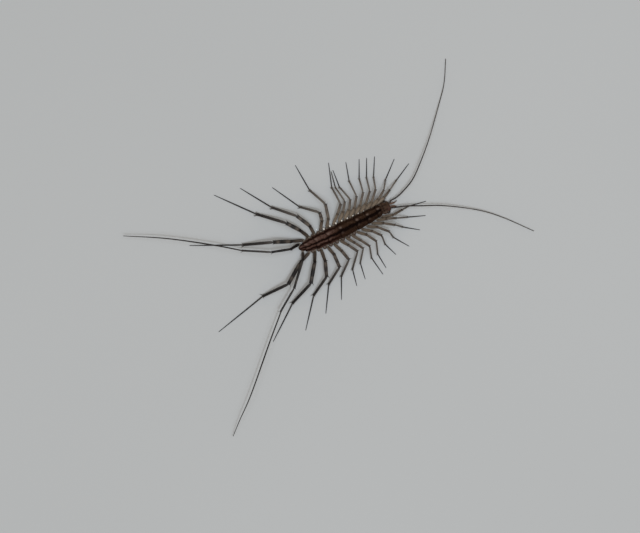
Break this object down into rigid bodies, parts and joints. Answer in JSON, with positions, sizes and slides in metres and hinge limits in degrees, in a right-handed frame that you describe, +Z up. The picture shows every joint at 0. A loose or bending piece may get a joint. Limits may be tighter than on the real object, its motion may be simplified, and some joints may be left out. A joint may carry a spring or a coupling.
{
  "type": "house centipede model",
  "caption": "Life-size still model of a house centipede with its long banded legs spread flat, back plates, whip antennae and long rear legs.",
  "frame": {"origin": "on the floor under the centre of the whole animal's outline, legs and antennae included", "axes": "+Z up from the floor, -Y the way the head points along the body, +X to the animal's left"},
  "size_m": [0.0706, 0.1044, 0.0067],
  "materials": {
    "back_plates": "dark brown cuticle with paler reddish bands between three dark stripes, satin",
    "head_shell": "reddish brown cuticle, satin",
    "legs": "grey-brown cuticle with dark and pale bands, satin",
    "antennae": "grey-brown cuticle in many short rings, satin",
    "mouthparts": "amber-brown cuticle with dark tips, satin",
    "eyes": "near-black faceted eye, glossy"
  },
  "bodies": {
    "root": {"antenna_left": "antennae", "antenna_right": "antennae", "eye_left": "eyes", "eye_right": "eyes", "forcipule_left": "mouthparts", "forcipule_right": "mouthparts", "head": "head_shell", "leg_left_01": "legs", "leg_left_02": "legs", "leg_left_03": "legs", "leg_left_04": "legs", "leg_left_05": "legs", "leg_left_06": "legs", "leg_left_07": "legs", "leg_left_08": "legs", "leg_left_09": "legs", "leg_left_10": "legs", "leg_left_11": "legs", "leg_left_12": "legs", "leg_left_13": "legs", "leg_left_14": "legs", "leg_left_15": "legs", "leg_right_01": "legs", "leg_right_02": "legs", "leg_right_03": "legs", "leg_right_04": "legs", "leg_right_05": "legs", "leg_right_06": "legs", "leg_right_07": "legs", "leg_right_08": "legs", "leg_right_09": "legs", "leg_right_10": "legs", "leg_right_11": "legs", "leg_right_12": "legs", "leg_right_13": "legs", "leg_right_14": "legs", "leg_right_15": "legs", "palp_left": "mouthparts", "palp_right": "mouthparts", "tail": "back_plates", "trunk_01": "back_plates", "trunk_02": "back_plates", "trunk_03": "back_plates", "trunk_04": "back_plates", "trunk_05": "back_plates", "trunk_06": "back_plates", "trunk_07": "back_plates"}
  },
  "joints": []
}
